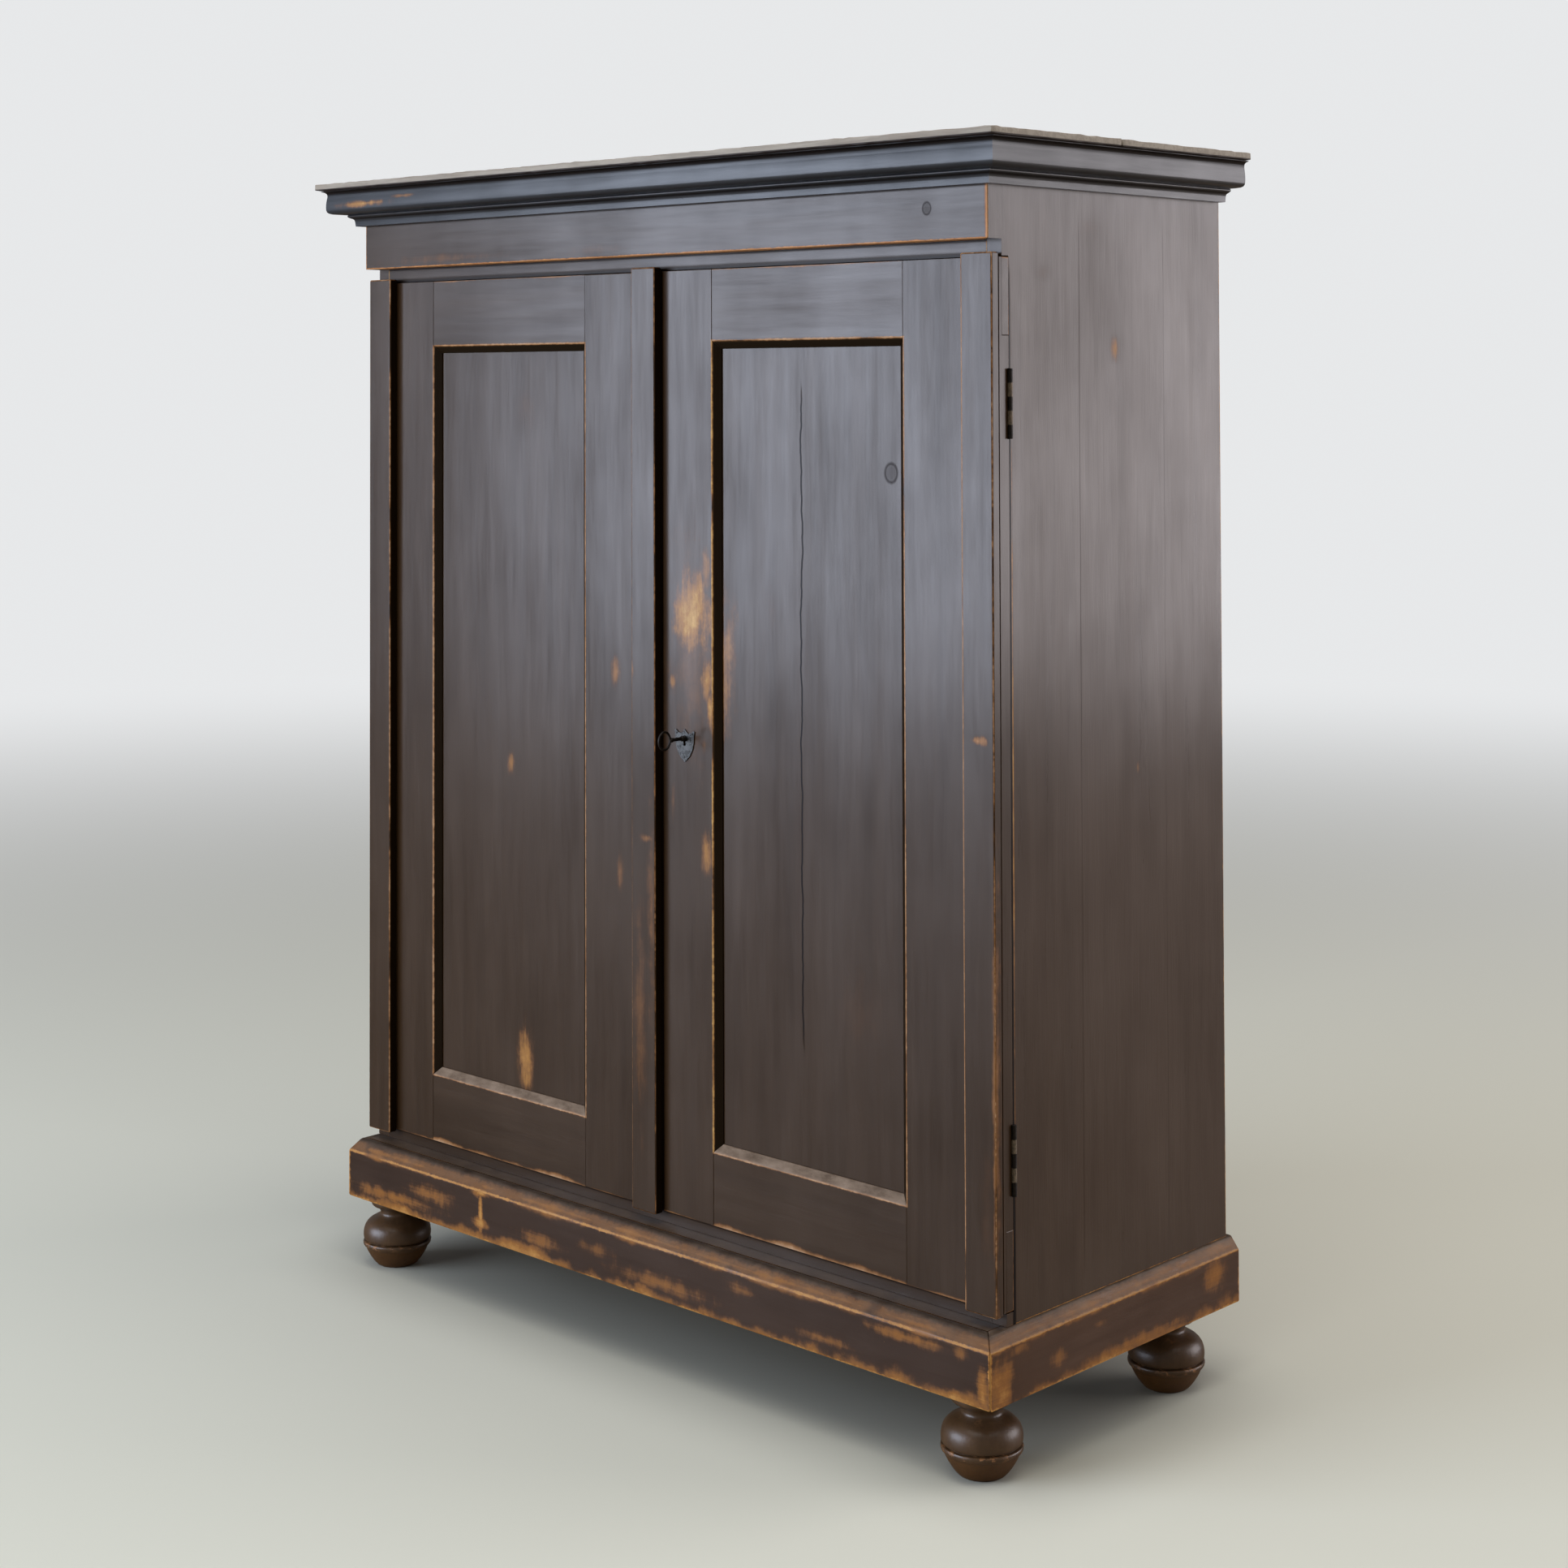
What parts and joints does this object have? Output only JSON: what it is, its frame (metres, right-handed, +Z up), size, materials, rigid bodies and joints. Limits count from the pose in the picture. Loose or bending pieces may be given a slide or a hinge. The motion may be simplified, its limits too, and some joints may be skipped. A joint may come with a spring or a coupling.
{
  "type": "linen cupboard",
  "caption": "Freestanding painted pine linen cupboard with two framed doors, a moulded cornice, a chamfered plinth, turned bun feet, inside shelves, a lock with its key and inner slide bolts.",
  "frame": {"origin": "on the floor, under the middle of the whole cupboard's box", "axes": "+Z up, -Y out of the doors' front, +X to the right when the doors are faced"},
  "size_m": [1.4254, 0.6036, 1.75],
  "materials": {
    "bare_pine": "unpainted sawn pine, grey-tan with age",
    "dark_iron": "dark iron, partly painted",
    "grey_iron": "grey iron, slightly polished by use",
    "painted_pine": "satin dark red-brown paint, worn to bare pine on the arrises",
    "turned_foot": "glossy dark brown varnish on turned wood",
    "worn_plinth": "the same paint, heavily worn to orange-brown pine"
  },
  "bodies": {
    "case": {"back_board_1": "bare_pine", "back_board_2": "bare_pine", "back_board_3": "bare_pine", "bottom_board": "bare_pine", "bottom_rail": "painted_pine", "corner_block_front_left": "bare_pine", "corner_block_front_right": "bare_pine", "corner_block_rear_left": "bare_pine", "corner_block_rear_right": "bare_pine", "cornice_front": "painted_pine", "cornice_left": "painted_pine", "cornice_right": "painted_pine", "foot_front_left": "turned_foot", "foot_front_right": "turned_foot", "foot_rear_left": "turned_foot", "foot_rear_right": "turned_foot", "frieze": "painted_pine", "left_lower_hinge_case_leaf": "dark_iron", "left_upper_hinge_case_leaf": "dark_iron", "plinth_back": "worn_plinth", "plinth_front": "worn_plinth", "plinth_ledge": "painted_pine", "plinth_left": "worn_plinth", "plinth_right": "worn_plinth", "right_lower_hinge_case_leaf": "dark_iron", "right_upper_hinge_case_leaf": "dark_iron", "roof_front_board": "bare_pine", "roof_rear_board": "bare_pine", "shelf_1": "bare_pine", "shelf_2": "bare_pine", "shelf_3": "bare_pine", "side_left": "painted_pine", "side_right": "painted_pine", "top_rail": "painted_pine"},
    "left_door": {"left_corner_strip": "painted_pine", "left_door_bottom_rail": "painted_pine", "left_door_hinge_stile": "painted_pine", "left_door_meeting_stile": "painted_pine", "left_door_panel": "painted_pine", "left_door_top_rail": "painted_pine", "left_lower_hinge_door_leaf": "dark_iron", "left_upper_hinge_door_leaf": "dark_iron", "lock_strike": "dark_iron", "lower_bolt_plate": "dark_iron", "meeting_strip": "painted_pine", "upper_bolt_plate": "dark_iron"},
    "right_door": {"escutcheon": "grey_iron", "lock_case": "dark_iron", "right_corner_strip": "painted_pine", "right_door_bottom_rail": "painted_pine", "right_door_hinge_stile": "painted_pine", "right_door_meeting_stile": "painted_pine", "right_door_panel": "painted_pine", "right_door_top_rail": "painted_pine", "right_lower_hinge_door_leaf": "dark_iron", "right_upper_hinge_door_leaf": "dark_iron"},
    "key": {"key": "dark_iron"},
    "lock_bolt": {"lock_bolt": "grey_iron"},
    "upper_bolt": {"upper_bolt": "grey_iron"},
    "lower_bolt": {"lower_bolt": "grey_iron"}
  },
  "joints": [
    {"name": "left_door_hinge", "type": "hinge", "parent": "case", "child": "left_door", "pos_m": [-0.6567, -0.1973, 0.902], "axis": [0, 0, -1], "range_deg": [0, 175]},
    {"name": "right_door_hinge", "type": "hinge", "parent": "case", "child": "right_door", "pos_m": [0.6567, -0.1973, 0.902], "axis": [0, 0, 1], "range_deg": [0, 175]},
    {"name": "key_turn", "type": "hinge", "parent": "right_door", "child": "key", "pos_m": [0.06755, -0.21695, 0.907], "axis": [0, -1, 0], "range_deg": [0, 180]},
    {"name": "lock_bolt_slide", "type": "slide", "parent": "right_door", "child": "lock_bolt", "axis": [-1, 0, 0], "range_m": [0, 0.014]},
    {"name": "upper_bolt_slide", "type": "slide", "parent": "left_door", "child": "upper_bolt", "axis": [0, 0, 1], "range_m": [0, 0.016]},
    {"name": "lower_bolt_slide", "type": "slide", "parent": "left_door", "child": "lower_bolt", "axis": [0, 0, -1], "range_m": [0, 0.016]}
  ],
  "couplings": [
    {"joint": "key_turn", "follows": "lock_bolt_slide", "rad_per_m": 224.39}
  ]
}
